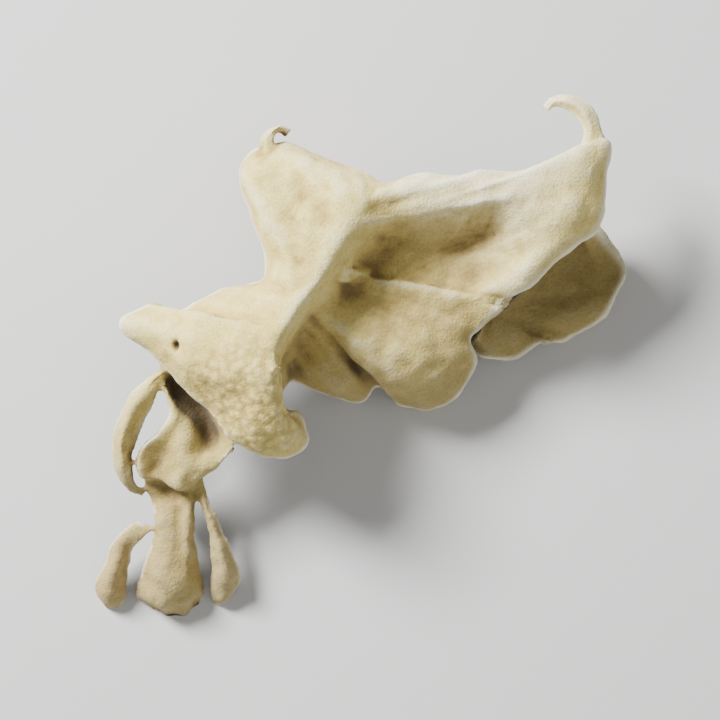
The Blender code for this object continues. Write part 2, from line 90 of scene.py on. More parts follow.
# Growth lines, clockwise from above, in millimetres: where each starts on the crest, the edge's x and y,
# the sideways bow, six heights on the way, then how far the lip tucks in and its height
GROWTH_LINES = (
    # the notch between the left lobe and the wing
    (0.00, 2.9, 20.0, 0.0, (15.1, 14.9, 14.5, 13.8, 12.8, 11.4), 0.8, 6.5),
    # the wing: a bright top band, a valley before it, and a ridge across it near the tip
    (0.05, 7.0, 20.6, 0.0, (14.8, 14.6, 14.2, 13.8, 12.9, 11.8), 0.4, 9.0),
    (0.13, 10.4, 20.6, 0.0, (14.5, 14.2, 14.0, 13.8, 13.0, 11.8), 0.3, 9.2),
    (0.22, 13.4, 21.1, 0.0, (14.3, 13.9, 13.8, 13.9, 13.2, 12.2), 0.4, 9.4),
    (0.32, 17.0, 21.0, -0.4, (14.1, 13.8, 13.7, 13.9, 13.3, 12.0), 0.4, 9.6),
    (0.42, 20.4, 21.9, -0.6, (13.9, 13.7, 13.7, 13.9, 13.5, 12.6), 0.4, 10.0),
    (0.56, 26.4, 24.4, -1.4, (13.6, 13.5, 13.7, 13.8, 13.7, 13.0), 0.5, 10.4),
    (0.76, 27.0, 20.4, -0.2, (12.6, 12.8, 13.6, 13.8, 13.4, 11.6), 0.8, 9.2),
    (1.00, 26.3, 16.8, 0.0, (10.6, 10.1, 10.6, 13.0, 13.4, 11.4), 0.6, 9.4),
    (1.15, 25.4, 14.4, 0.0, (10.1, 9.3, 8.9, 12.2, 12.9, 11.3), 0.5, 9.6),
    (1.30, 22.4, 12.0, 0.0, (9.8, 9.2, 8.3, 10.6, 12.6, 11.4), 0.5, 9.6),
    (1.48, 18.8, 9.2, 0.0, (9.7, 9.3, 8.5, 8.9, 11.4, 11.0), 0.5, 9.2),
    (1.64, 15.6, 7.0, -0.5, (9.7, 9.3, 8.9, 8.7, 9.0, 9.4), 0.2, 8.5),
    # past the wing's free rim the sheet runs on under it, and comes out as the lower right lobe
    (1.72, 18.4, 10.2, -1.4, (9.5, 8.4, 7.2, 6.6, 6.2, 5.8), 0.0, 5.2),
    (1.74, 24.6, 15.6, -3.9, (9.4, 8.0, 6.4, 4.8, 4.4, 4.4), 0.0, 3.6),
    (1.76, 27.7, 13.4, -3.3, (9.4, 7.9, 6.2, 3.8, 2.6, 4.4), 0.4, 2.8),
    (1.78, 29.4, 10.6, -2.5, (9.4, 7.8, 6.0, 3.4, 2.6, 4.8), 0.5, 2.4),
    (1.80, 28.5, 7.9, -1.5, (9.4, 7.8, 6.0, 3.4, 2.8, 4.0), 0.4, 1.4),
    (1.82, 27.3, 5.4, -0.6, (9.4, 7.8, 6.0, 3.6, 3.4, 2.8), 0.7, 0.4),
    (1.84, 24.8, 3.7, 0.1, (9.4, 7.8, 6.0, 3.8, 3.2, 2.6), 0.5, 0.4),
    (1.86, 22.5, 2.8, 0.5, (9.4, 7.8, 6.0, 4.0, 3.0, 2.4), 0.3, -0.5),
    (1.88, 20.2, 2.6, 0.8, (9.4, 7.8, 6.0, 4.4, 3.8, 3.6), 0.2, 3.0),
    (1.90, 17.8, 1.1, 1.4, (9.4, 7.8, 6.1, 4.6, 3.6, 2.6), 0.4, 0.8),
    (1.92, 15.4, 0.9, 1.7, (9.4, 7.8, 6.2, 4.8, 3.8, 3.0), 0.3, 1.6),
    (1.94, 13.2, 1.6, 1.6, (9.4, 7.9, 6.3, 5.0, 4.0, 3.2), 0.0, 2.2),
    (1.96, 12.2, 3.4, 1.0, (9.5, 8.0, 6.4, 5.4, 4.6, 3.9), 0.0, 3.2),
    # the middle lobe, low between the hump and the wing, whose right margin lies over the one before
    (2.00, 15.2, 6.9, 0.6, (10.0, 9.9, 9.6, 9.3, 9.3, 9.3), 0.2, 8.4),
    (2.09, 14.1, 4.9, 0.2, (9.9, 9.7, 9.5, 9.2, 9.0, 8.4), 0.3, 7.2),
    (2.18, 12.6, 3.1, 0.0, (9.9, 9.6, 9.4, 9.1, 8.6, 7.4), 0.3, 6.0),
    (2.34, 12.9, 0.4, 0.0, (10.0, 9.8, 9.4, 8.8, 7.8, 6.0), 0.6, 3.6),
    (2.52, 12.1, -2.0, 0.0, (10.4, 10.1, 9.5, 8.6, 7.0, 4.6), 0.7, 1.6),
    (2.68, 10.6, -3.8, 0.0, (10.8, 10.3, 9.6, 8.4, 6.2, 3.6), 0.8, 0.4),
    (2.84, 8.1, -5.0, 0.0, (11.0, 10.5, 9.6, 8.2, 5.8, 3.0), 0.6, -0.3),
    (3.00, 5.4, -4.6, 0.0, (11.2, 10.3, 9.2, 7.6, 5.4, 3.0), 0.8, -0.4),
    (3.14, 3.9, -3.7, 0.0, (11.0, 9.6, 8.2, 6.8, 5.2, 3.6), 0.2, 1.6),
    (3.30, 2.3, -2.2, 0.0, (10.6, 8.9, 7.5, 6.3, 5.4, 4.8), 0.0, 3.8),
    (3.50, 1.0, -4.1, 0.0, (10.2, 8.5, 7.5, 6.8, 5.2, 3.2), 0.4, 0.8),
    (3.80, -1.2, -4.0, 0.0, (9.8, 8.0, 7.3, 6.8, 5.4, 3.2), 0.6, 0.6),
    (4.20, -4.2, -2.7, 0.0, (9.6, 7.6, 6.8, 6.2, 5.2, 4.2), 0.2, 2.6),
    (4.70, -7.2, -1.4, 0.0, (11.4, 8.6, 7.0, 6.2, 5.6, 5.0), 0.0, 4.2),
    # the hump that overhangs it, down to the stub
    (5.00, -7.7, -4.4, 0.0, (16.4, 15.4, 14.0, 12.6, 11.4, 10.2), 0.2, 8.4),
    (5.00, -5.2, -7.4, -1.4, (16.6, 15.8, 14.6, 13.2, 11.8, 9.4), 0.6, 7.0),
    (5.00, -7.2, -9.9, -0.6, (16.7, 16.2, 15.2, 13.8, 12.0, 9.6), 0.6, 7.0),
    (5.00, -12.2, -8.3, -0.4, (17.0, 16.9, 16.0, 14.5, 12.8, 11.2), 0.3, 10.2),
    (5.00, -16.1, -4.5, 0.0, (17.0, 17.0, 16.2, 14.8, 13.0, 11.4), 0.3, 10.4),
    (5.00, -20.4, -0.6, 0.0, (17.0, 16.9, 16.2, 14.9, 13.0, 11.4), 0.3, 10.2),
    # the nose
    (4.80, -24.2, 3.0, 0.0, (16.9, 16.7, 16.0, 14.6, 12.8, 10.6), 0.8, 8.0),
    (4.50, -25.2, 5.0, 0.0, (16.6, 16.3, 15.6, 14.4, 12.8, 10.8), 0.8, 8.0),
    (4.20, -22.6, 6.9, 0.0, (16.3, 15.9, 15.1, 13.9, 12.2, 10.2), 0.6, 7.6),
    (4.00, -19.5, 6.2, 0.0, (16.1, 15.6, 14.8, 13.6, 12.0, 10.6), 0.2, 8.4),
    (3.80, -17.4, 7.0, 0.0, (15.9, 15.4, 14.5, 13.2, 11.6, 9.8), 0.4, 7.4),
    (3.50, -14.6, 8.4, 0.0, (15.6, 15.1, 14.2, 12.8, 11.2, 9.4), 0.4, 7.2),
    (3.20, -11.2, 9.0, 0.0, (15.4, 15.0, 14.1, 12.8, 11.2, 9.6), 0.0, 7.6),
    # the left lobe, whose lip rolls down to a foot behind the ear
    (2.80, -9.9, 9.9, 0.0, (15.3, 15.0, 14.4, 13.4, 11.8, 10.0), 0.2, 7.4),
    (2.40, -9.7, 12.3, 0.0, (15.3, 14.9, 14.4, 13.8, 12.4, 10.4), 0.2, 7.4),
    (2.00, -11.3, 16.2, 0.0, (15.3, 14.8, 14.2, 13.9, 12.6, 10.2), 0.3, 6.4),
    (1.60, -12.8, 19.6, 0.0, (15.5, 14.9, 14.0, 13.6, 12.4, 9.2), 0.6, 4.0),
    (1.30, -13.0, 21.6, 0.0, (15.6, 15.0, 14.0, 13.2, 12.0, 8.6), 0.8, 3.0),
    (1.00, -11.0, 23.8, 0.0, (15.7, 15.1, 14.2, 13.0, 11.4, 8.6), 0.6, 5.0),
    (0.70, -7.9, 24.2, 0.0, (15.7, 15.3, 14.6, 13.4, 11.6, 8.8), 1.2, 2.4),
    (0.40, -4.2, 22.9, 0.0, (15.7, 15.5, 15.0, 13.8, 11.6, 8.0), 1.6, -0.4),
    (0.15, -0.4, 21.5, 0.0, (15.4, 15.3, 14.9, 14.0, 12.2, 9.6), 1.4, 2.6),
)

# %% The lobes
# Lobes: ribs of points from the left edge to the right one, in millimetres
LOBES = {
    # the fan comes out of the pleat under the hump like a skirt, whose hem hangs over the narrow neck
    "fan": (
        ((-21.2, -0.9, 10.0), (-20.9, -1.0, 10.3), (-20.4, -1.1, 9.9),
         (-20.1, -0.9, 10.0), (-19.8, -0.3, 10.8)),
        ((-20.9, -3.2, 9.4), (-20.2, -3.3, 9.9), (-19.4, -3.0, 8.8),
         (-18.9, -2.4, 8.4), (-18.3, -1.5, 10.8)),
        ((-20.4, -5.0, 9.2), (-19.4, -5.1, 9.5), (-18.4, -4.7, 8.2),
         (-17.4, -3.9, 7.4), (-16.6, -3.0, 10.8)),
        ((-21.6, -7.2, 9.0), (-20.0, -7.2, 8.6), (-18.0, -6.8, 8.6),
         (-16.2, -5.8, 6.8), (-14.9, -4.9, 10.8)),
        ((-23.3, -8.8, 8.4), (-20.8, -9.2, 7.6), (-18.2, -9.0, 8.4),
         (-15.4, -7.8, 6.8), (-13.4, -6.5, 10.7)),
        ((-23.8, -10.8, 7.6), (-21.4, -11.0, 6.8), (-18.8, -11.2, 8.0),
         (-15.6, -9.6, 7.6), (-12.2, -8.0, 9.4)),
        ((-23.4, -12.2, 7.2), (-21.4, -12.4, 6.6), (-19.2, -13.2, 7.4),
         (-16.8, -12.0, 7.4), (-13.2, -8.8, 8.6)),
        ((-23.2, -12.6, 6.2), (-21.2, -12.8, 5.4), (-19.2, -13.4, 6.0),
         (-17.4, -12.8, 6.2), (-15.6, -11.4, 7.0)),
        ((-23.0, -13.4, 5.2), (-21.0, -13.2, 4.9), (-19.4, -13.6, 4.9),
         (-18.0, -13.6, 5.0), (-17.0, -13.0, 5.4)),
        ((-22.6, -15.0, 4.6), (-21.0, -15.0, 5.0), (-19.6, -15.2, 4.6),
         (-18.4, -15.2, 5.0), (-17.6, -14.8, 4.8)),
        ((-22.2, -17.2, 4.2), (-20.9, -17.2, 4.9), (-19.6, -17.3, 4.5),
         (-18.5, -17.2, 4.9), (-17.6, -17.0, 4.2)),
        ((-22.8, -20.2, 3.2), (-21.2, -20.4, 4.4), (-19.8, -20.4, 4.4),
         (-18.4, -20.2, 4.4), (-17.4, -20.0, 3.0)),
        ((-24.0, -22.8, 2.2), (-22.0, -23.2, 4.0), (-20.2, -23.3, 4.3),
         (-18.4, -23.2, 3.8), (-17.0, -22.8, 2.0)),
        ((-24.8, -25.0, 0.8), (-22.8, -25.8, 2.6), (-20.5, -26.1, 3.2),
         (-18.2, -25.8, 2.6), (-16.8, -25.0, 0.8)),
        ((-23.9, -26.2, -0.4), (-22.4, -27.3, -0.4), (-20.6, -27.7, -0.5),
         (-18.6, -27.4, -0.4), (-17.4, -26.6, -0.4)),
    ),
    "left_hanging_lobe": (
        ((-24.2, -17.0, 3.4), (-23.2, -17.2, 4.1), (-22.2, -17.6, 4.2)),
        ((-27.0, -19.1, 3.2), (-25.9, -19.3, 3.8), (-24.6, -19.4, 3.0)),
        ((-27.8, -21.2, 2.2), (-26.4, -21.4, 3.6), (-25.2, -21.4, 2.0)),
        ((-28.9, -23.8, 1.0), (-27.0, -23.9, 3.0), (-25.4, -23.4, 1.4)),
        ((-28.5, -25.4, 0.4), (-27.1, -25.9, 1.6), (-25.8, -25.4, 0.6)),
        ((-27.8, -26.3, -0.4), (-27.2, -26.6, -0.3), (-26.5, -26.4, -0.4)),
    ),
    "right_hanging_lobe": (
        ((-18.0, -13.2, 5.4), (-17.3, -13.0, 5.8), (-16.6, -12.8, 5.8)),
        ((-17.2, -15.4, 5.0), (-16.6, -15.2, 5.6), (-15.9, -15.0, 5.0)),
        ((-16.5, -18.4, 4.0), (-15.6, -18.1, 4.8), (-14.8, -17.7, 4.0)),
        ((-16.2, -21.4, 2.8), (-14.9, -21.1, 4.2), (-13.7, -20.6, 2.8)),
        ((-16.3, -23.8, 1.6), (-14.6, -23.6, 3.2), (-12.7, -23.2, 1.8)),
        ((-16.4, -25.6, 0.6), (-14.9, -25.4, 1.8), (-13.4, -24.6, 1.0)),
        ((-15.8, -26.6, -0.2), (-15.2, -26.5, 0.4), (-14.4, -25.6, 0.4)),
    ),
    # the margin that rolled into a loop beside the fan
    "loop": (
        ((-20.6, 0.6, 10.4), (-20.4, -0.2, 10.9), (-20.2, -1.2, 10.2)),
        ((-22.4, -0.7, 9.8), (-21.9, -1.5, 10.6), (-21.2, -2.6, 9.6)),
        ((-24.3, -2.6, 9.0), (-23.3, -3.3, 10.2), (-22.0, -4.2, 9.0)),
        ((-25.9, -5.0, 8.0), (-24.7, -5.4, 9.6), (-23.1, -5.9, 8.2)),
        ((-26.8, -7.7, 7.0), (-25.5, -7.9, 8.8), (-23.9, -8.0, 7.4)),
        ((-26.8, -10.0, 6.2), (-25.6, -10.2, 7.8), (-24.3, -10.2, 6.8)),
        ((-26.2, -11.9, 5.6), (-25.3, -12.0, 6.8), (-24.3, -11.9, 6.2)),
        ((-25.2, -13.4, 5.0), (-24.6, -13.3, 5.9), (-23.9, -13.0, 5.6)),
        ((-23.6, -14.4, 4.4), (-23.2, -13.9, 4.9), (-22.8, -13.4, 5.0)),
    ),
    # a small curl on the corner of the left lobe
    "corner_curl": (
        ((-11.0, 22.2, 9.6), (-9.5, 22.4, 10.8), (-7.9, 22.6, 10.0)),
        ((-10.9, 24.1, 9.8), (-9.9, 24.4, 11.0), (-8.9, 23.7, 10.8)),
        ((-9.9, 25.8, 10.2), (-9.2, 25.3, 11.3), (-8.7, 24.6, 10.9)),
        ((-8.3, 26.4, 10.2), (-8.2, 25.8, 11.1), (-8.3, 25.0, 10.4)),
        ((-6.9, 25.6, 9.4), (-7.4, 25.1, 10.2), (-7.9, 24.7, 9.4)),
    ),
    # the tip of the wing, curled over like a hook
    "hook": (
        ((23.2, 22.4, 12.4), (25.0, 22.8, 13.0), (26.6, 22.8, 12.2)),
        ((24.0, 24.8, 12.8), (25.0, 25.2, 13.5), (26.0, 25.4, 12.8)),
        ((23.3, 26.4, 13.0), (24.1, 27.2, 13.9), (24.9, 27.8, 13.0)),
        ((21.9, 27.4, 12.8), (22.4, 28.3, 13.9), (22.7, 29.2, 12.8)),
        ((20.9, 27.6, 12.4), (20.8, 28.3, 13.3), (20.5, 29.0, 12.4)),
        ((20.6, 27.1, 11.8), (20.1, 27.4, 12.4), (19.6, 27.9, 11.8)),
    ),
}

# %% [markdown]
# ## From points to a smooth surface
# A surface through few points can come from NURBS, from Subdivision Surface or from a curve formula. The
# formula keeps every drawn point on the surface, as a Catmull-Rom curve does, so the edge stays where it is
# drawn. The sheet starts as a narrow strip round the crest, and its rim is extruded outwards ring by ring.

# %% Sample the growth lines and the ribs on smooth curves
ACROSS = 8
ALONG = 5


def eased(before, start, end, after, share):
    """The point at a share of the way from start to end, on a smooth curve through its neighbours."""
    square = share * share
    cube = square * share
    return 0.5 * (
        2.0 * start
        + (end - before) * share
        + (2.0 * before - 5.0 * start + 4.0 * end - after) * square
        + (3.0 * start - before - 3.0 * end + after) * cube
    )


def resampled(points, steps, closed=False):
    """The points with steps - 1 more between each two, on one smooth curve."""
    count = len(points)
    spans = count if closed else count - 1
    made = []
    for i in range(spans):
        if closed:
            before, start = points[i - 1], points[i]
            end, after = points[(i + 1) % count], points[(i + 2) % count]
        else:
            start, end = points[i], points[i + 1]
            before = points[i - 1] if i else 2.0 * start - end
            after = points[i + 2] if i + 2 < count else 2.0 * end - start
        made += [eased(before, start, end, after, step / steps) for step in range(steps)]
    return made if closed else made + [points[-1].copy()]


def crest_point(way):
    """The point of the crest at a way along it."""
    points = [Vector(point) for point in CREST]
    index = min(int(way), len(points) - 2)
    before = points[index - 1] if index else 2.0 * points[0] - points[1]
    after = points[index + 2] if index + 2 < len(points) else 2.0 * points[-1] - points[-2]
    return eased(before, points[index], points[index + 1], after, way - index)


def growth_line(start, edge_x, edge_y, bow, heights, tuck, lip_height):
    """The points of one growth line, from its start on the crest to the tucked lip."""
    root = crest_point(start)
    run = Vector((edge_x - root.x, edge_y - root.y, 0.0))
    heading = run.normalized()
    aside = Vector((-heading.y, heading.x, 0.0))
    line = [root]
    for share, height in zip(STATIONS, heights):
        place = root + run * share + aside * bow * math.sin(math.pi * share)
        line.append(Vector((place.x, place.y, height)))
    lip = root + run - heading * tuck
    line.append(Vector((lip.x, lip.y, lip_height)))
    return line


def sheet_rings():
    """The rings of the main sheet from the crest outwards, each a closed list of points in metres."""
    lines = [resampled(growth_line(*line), ALONG)[1:] for line in GROWTH_LINES]
    rings = [resampled([line[k] for line in lines], ACROSS, closed=True) for k in range(len(lines[0]))]
    return [[point * MM for point in ring] for ring in rings]


print("growth lines:", len(GROWTH_LINES), "lobes:", len(LOBES))

# %% Extrude the sheet and its lobes
LOBE_STEPS = 5
# Lobes count their columns from here on, so that their wrinkles differ from the sheet's
LOBE_COLUMNS = 60.0
# A lobe's root counts as this share of the way out from the crest, and its hem as the whole way
LOBE_ROOT_WAY = 0.3


def grown(shape, edges):
    """Extrudes edges and returns the new vertex that each old one gave."""
    made = bmesh.ops.extrude_edge_only(shape, edges=edges)["geom"]
    fresh = {item for item in made if isinstance(item, bmesh.types.BMVert)}
    twins = {}
    for vert in {vert for edge in edges for vert in edge.verts}:
        twins[vert] = next(e.other_vert(vert) for e in vert.link_edges if e.other_vert(vert) in fresh)
    return twins


def placed(shape, verts, places, first_column, columns_each, way):
    """Moves vertices to their places and notes each one's column and its way out from the crest or root."""
    column = shape.verts.layers.float["column"]
    out = shape.verts.layers.float["out"]
    for i, (vert, place) in enumerate(zip(verts, places)):
        vert.co = place
        vert[column] = first_column + i * columns_each
        vert[out] = way


def main_sheet(shape):
    """Adds the main sheet: a narrow strip filled in round the crest, extruded ring by ring to the lip."""
    rings = sheet_rings()
    rim = [shape.verts.new(place) for place in rings[0]]
    edges = [shape.edges.new(pair) for pair in zip(rim, rim[1:] + rim[:1])]
    bmesh.ops.triangle_fill(shape, use_beauty=True, edges=edges, normal=(0.0, 0.0, 1.0))
    for k, ring in enumerate(rings):
        if k:
            twins = grown(shape, [edge for edge in shape.edges if edge.is_boundary])
            rim = [twins[vert] for vert in rim]
        placed(shape, rim, ring, 0.0, 1.0 / ACROSS, (k + 1) / len(rings))


def lobe(shape, ribs, first_column):
    """Adds a lobe, extruded rib by rib."""
    rows = [resampled([Vector(point) * MM for point in rib], LOBE_STEPS) for rib in ribs]
    columns = [resampled(list(column), LOBE_STEPS) for column in zip(*rows)]
    rows = list(zip(*columns))
    front = [shape.verts.new(place) for place in rows[0]]
    edges = [shape.edges.new(pair) for pair in zip(front, front[1:])]
    placed(shape, front, rows[0], first_column, 1.0 / LOBE_STEPS, LOBE_ROOT_WAY)
    for k, row in enumerate(rows[1:], start=1):
        twins = grown(shape, edges)
        front = [twins[vert] for vert in front]
        edges = [shape.edges.get(pair) for pair in zip(front, front[1:])]
        way = LOBE_ROOT_WAY + (1.0 - LOBE_ROOT_WAY) * k / (len(rows) - 1)
        placed(shape, front, row, first_column, 1.0 / LOBE_STEPS, way)


def surface(name, maker, *more):
    """One open surface as a mesh, with its pale side up and its place centred."""
    shape = bmesh.new()
    shape.verts.layers.float.new("column")
    shape.verts.layers.float.new("out")
    maker(shape, *more)
    bmesh.ops.translate(shape, verts=shape.verts, vec=CENTRING)
    bmesh.ops.recalc_face_normals(shape, faces=shape.faces)
    if sum(face.normal.z * face.calc_area() for face in shape.faces) < 0.0:
        bmesh.ops.reverse_faces(shape, faces=shape.faces)
    mesh = bpy.data.meshes.new(name)
    shape.to_mesh(mesh)
    shape.free()
    return mesh


surfaces = [surface("main_sheet", main_sheet)]
for number, (lobe_name, ribs) in enumerate(LOBES.items(), start=1):
    surfaces.append(surface(lobe_name, lobe, ribs, LOBE_COLUMNS * number))
print("faces of each surface:", [len(mesh.polygons) for mesh in surfaces])

# %% [markdown]
# ## Where the sheet ends
# A real ear has a thin, whitish, slightly torn margin. An edge of a drawn surface is such a margin only
# where it is free: where a lobe runs into the sheet, there is no margin at all. So each edge point is tested
# against the other surfaces, and the points that touch nothing are kept in a search tree.

# %% Find the free margins
TOUCHING = 1.4 * MM


def boundary_points(mesh):
    """The places of a mesh's open edge."""
    shape = bmesh.new()
    shape.from_mesh(mesh)
    points = [vert.co.copy() for vert in shape.verts if vert.is_boundary]
    shape.free()
    return points


def tree_of(mesh):
    """A search tree of a mesh's faces."""
    shape = bmesh.new()
    shape.from_mesh(mesh)
    tree = BVHTree.FromBMesh(shape)
    shape.free()
    return tree


surface_trees = [tree_of(mesh) for mesh in surfaces]
free_points = []
for i, mesh in enumerate(surfaces):
    others = [tree for j, tree in enumerate(surface_trees) if j != i]
    for point in boundary_points(mesh):
        if all(tree.find_nearest(point, TOUCHING)[0] is None for tree in others):
            free_points.append(point)
margin_tree = KDTree(len(free_points))
for i, point in enumerate(free_points):
    margin_tree.insert(point, i)
margin_tree.balance()
print("free margin points:", len(free_points))

# %% [markdown]
# ## Flesh
# Solidify gives the open surface its flesh, on the black side. The lobes then still pass through each other,
# so a voxel Remesh melts all of it into one body of even little squares, which is also the right ground for
# fine wrinkles. A Boolean union would leave long thin faces and hard seams.

# %% Thicken the sheet and melt it into one body
GRAIN = 0.275 * MM
RELAXING = 6
# The folds are eased within this reach of the crest
CREST_REACH = 4.0 * MM
CREST_EASING = 24
CREST_SAMPLES = 4
STUB_CENTRE = Vector((-7.1, -7.1, 9.7)) * MM
STUB_RADII = Vector((1.6, 2.6, 1.7)) * MM
STUB_TURN = math.radians(-12.0)


def applied(thing):
    """Replaces a thing's mesh by what its modifiers make of it."""
    graph = bpy.context.evaluated_depsgraph_get()
    mesh = bpy.data.meshes.new_from_object(thing.evaluated_get(graph))
    thing.modifiers.clear()
    thing.data = mesh


def linked(name, data):
    """An object for a mesh, a light or a camera, in the scene."""
    thing = bpy.data.objects.new(name, data)
    bpy.context.scene.collection.objects.link(thing)
    return thing


joined = bmesh.new()
for mesh in surfaces:
    joined.from_mesh(mesh)
sheet_mesh = bpy.data.meshes.new("drawn_sheet")
joined.to_mesh(sheet_mesh)
joined.free()
ear = linked("wood_ear_skin", sheet_mesh)
crest = [point * MM for point in resampled([Vector(point) for point in CREST], CREST_SAMPLES)]
near = ear.vertex_groups.new(name="along_the_crest")
for vertex in ear.data.vertices:
    away = min((vertex.co - CENTRING - point).length for point in crest)
    near.add([vertex.index], max(0.0, 1.0 - away / CREST_REACH), "REPLACE")
ease = ear.modifiers.new("ease", "SMOOTH")
ease.vertex_group = "along_the_crest"
ease.iterations = CREST_EASING
applied(ear)
drawn = bmesh.new()
drawn.from_mesh(ear.data)

flesh = ear.modifiers.new("flesh", "SOLIDIFY")
flesh.thickness = SHEET_THICKNESS
flesh.offset = -1.0
applied(ear)
body = bmesh.new()
body.from_mesh(ear.data)
toe = bmesh.ops.create_uvsphere(body, u_segments=32, v_segments=16, radius=1.0)["verts"]
bmesh.ops.scale(body, verts=toe, vec=STUB_RADII)
bmesh.ops.rotate(body, verts=toe, matrix=Matrix.Rotation(STUB_TURN, 3, "Z"))
bmesh.ops.translate(body, verts=toe, vec=STUB_CENTRE + CENTRING)
body.to_mesh(ear.data)
body.free()
melt = ear.modifiers.new("melt", "REMESH")
melt.mode = "VOXEL"
melt.voxel_size = GRAIN
relax = ear.modifiers.new("relax", "SMOOTH")
relax.iterations = RELAXING
applied(ear)
print("melted body:", len(ear.data.polygons), "faces")

# %% [markdown]
# ## Reading the sheet under every point
# The melted body no longer knows which of its points is on the pale side and which on the black one. Each
# asks the drawn surface: how deep under the pale side am I, how far from a free margin, and which way does
# the sheet face here? The drawn surface also knows the wrinkles, which lift both sides together.

# %% Give the drawn surface its wrinkles
CRUMPLE_SIZE = 6.5 * MM
CRUMPLE_HEIGHT = 0.42 * MM
SMALL_CRUMPLE_SIZE = 2.5 * MM
SMALL_CRUMPLE_HEIGHT = 0.17 * MM
# The crest stays smoother: it has this share of the crumples, and they grow full between these ways out
CREST_CRUMPLE = 0.4
SPREADING = (0.05, 0.45)
# The hanging lobes dried hardest, so from this Y on they crumple more
HANGING_LEVEL = -12.0 * MM
HANGING_EASE = 4.0 * MM
HANGING_CRUMPLE = 1.2
# Folds that follow the growth lines: their height, then how densely they come from line to line and on the
# way out, and a number that makes each kind differ
RIDGE_HEIGHT = 0.16 * MM
RIDGE_WAVES = (0.9, 1.6, 3.0)
FINE_RIDGE_HEIGHT = 0.05 * MM
FINE_RIDGE_WAVES = (2.3, 2.4, 8.0)
RUFFLE_HEIGHT = 0.45 * MM
RUFFLE_WAVES = (1.3, 0.0, 21.0)
RUFFLE_REACH = 3.0 * MM


def cloud(place, size, octaves=3):
    """Smooth noise of about -1 to 1, whose humps measure about the given size."""
    return noise.fractal(place / size, 1.0, 2.0, octaves)


def fade(value, start, end):
    """1 at start, 0 at end, eased between them."""
    share = min(1.0, max(0.0, (value - start) / (end - start)))
    return 1.0 - share * share * (3.0 - 2.0 * share)


def folds(column, out, waves):
    """Noise of about -1 to 1 at a column and a way out on the sheet."""
    across, outwards, kind = waves
    return noise.noise(Vector((column * across, out * outwards, kind)))


column_layer = drawn.verts.layers.float["column"]
out_layer = drawn.verts.layers.float["out"]
drawn.normal_update()
wrinkle = []
for vert in drawn.verts:
    column = vert[column_layer]
    out = vert[out_layer]
    margin = margin_tree.find(vert.co)[2]
    spread = 1.0 - fade(out, *SPREADING)
    hanging = fade(vert.co.y, HANGING_LEVEL, HANGING_LEVEL + HANGING_EASE)
    crumple = CRUMPLE_HEIGHT * (CREST_CRUMPLE + (1.0 - CREST_CRUMPLE) * spread)
    small_crumple = SMALL_CRUMPLE_HEIGHT * (spread + HANGING_CRUMPLE * hanging)
    lift = crumple * cloud(vert.co, CRUMPLE_SIZE)
    lift += small_crumple * cloud(vert.co, SMALL_CRUMPLE_SIZE, 2)
    lift += RIDGE_HEIGHT * spread * folds(column, out, RIDGE_WAVES)
    lift += FINE_RIDGE_HEIGHT * spread * folds(column, out, FINE_RIDGE_WAVES)
    lift += RUFFLE_HEIGHT * fade(margin, 0.0, RUFFLE_REACH) * folds(column, out, RUFFLE_WAVES)
    wrinkle.append(lift)
print("wrinkles from", round(min(wrinkle) / MM, 2), "to", round(max(wrinkle) / MM, 2), "mm")

# %% Ask the drawn surface about every point of the body
drawn.faces.ensure_lookup_table()
drawn_tree = BVHTree.FromBMesh(drawn)
count = len(ear.data.vertices)
facing = np.zeros((count, 3))
lift = np.zeros(count)
depth = np.zeros(count)
margin = np.zeros(count)
way_out = np.zeros(count)
on_sheet = np.zeros(count)
for i, vertex in enumerate(ear.data.vertices):
    spot, _, face_index, _ = drawn_tree.find_nearest(vertex.co)
    corners = drawn.faces[face_index].verts
    weights = poly_3d_calc([corner.co for corner in corners], spot)
    normal = Vector()
    for corner, weight in zip(corners, weights):
        normal += corner.normal * weight
        lift[i] += wrinkle[corner.index] * weight
        way_out[i] += corner[out_layer] * weight
    normal.normalize()
    facing[i] = normal
    depth[i] = max(0.0, normal.dot(spot - vertex.co))
    margin[i] = margin_tree.find(vertex.co)[2]
    on_sheet[i] = float(corners[0][column_layer] < LOBE_COLUMNS)
print("points under the sheet:", count, "deepest", round(depth.max() / MM, 2), "mm")

# %% [markdown]
# ## Wrinkles, pebbles and thin margins
# Displace modifiers could do this with textures, one for each effect. Moving the points in code instead lets
# every effect use what was just measured: wrinkles lift both sides, pebbles swell only the pale hump, veins
# wrinkle only the black side, and the flesh thins towards the free margin.

# %% Move the points
PEBBLE_SIZE = 0.9 * MM
PEBBLE_HEIGHT = 0.22 * MM
# At this share of its size a pebble's side is level with the hump, and between these its crevice begins
PEBBLE_SIDE = 0.45
CREVICE_START = (0.38, 0.62)
FELT_SIZE = 1.5 * MM
FELT_HEIGHT = 0.05 * MM
VEIN_SIZE = 1.7 * MM
VEIN_HEIGHT = 0.12 * MM
MARGIN_THICKNESS = 0.45 * MM
THINNING_REACH = 2.6 * MM
# Between these shares of its thickness the flesh turns from pale to black
BLACK_DEPTH = (0.35, 0.75)
# The hump and its pit are in the upper layer of the ear, which begins between these heights
UPPER_LAYER = (8.0 * MM, 12.0 * MM)
HUMP_CENTRE = Vector((-11.4, -3.4)) * MM + CENTRING.xy
HUMP_REACH = 9.0 * MM
HUMP_CORE = 0.45 * HUMP_REACH
PIT_CENTRE = Vector((-19.2, 2.3)) * MM + CENTRING.xy
PIT_REACH = 0.85 * MM
PIT_CORE = 0.2 * PIT_REACH
PIT_NARROWING = 1.6
PIT_DEPTH = 0.55 * MM
FLOOR_LEVEL = 0.0


def smooth(values, low, high):
    """0 below low, 1 above high, eased between them, for arrays."""
    share = np.clip((values - low) / (high - low), 0.0, 1.0)
    return share * share * (3.0 - 2.0 * share)


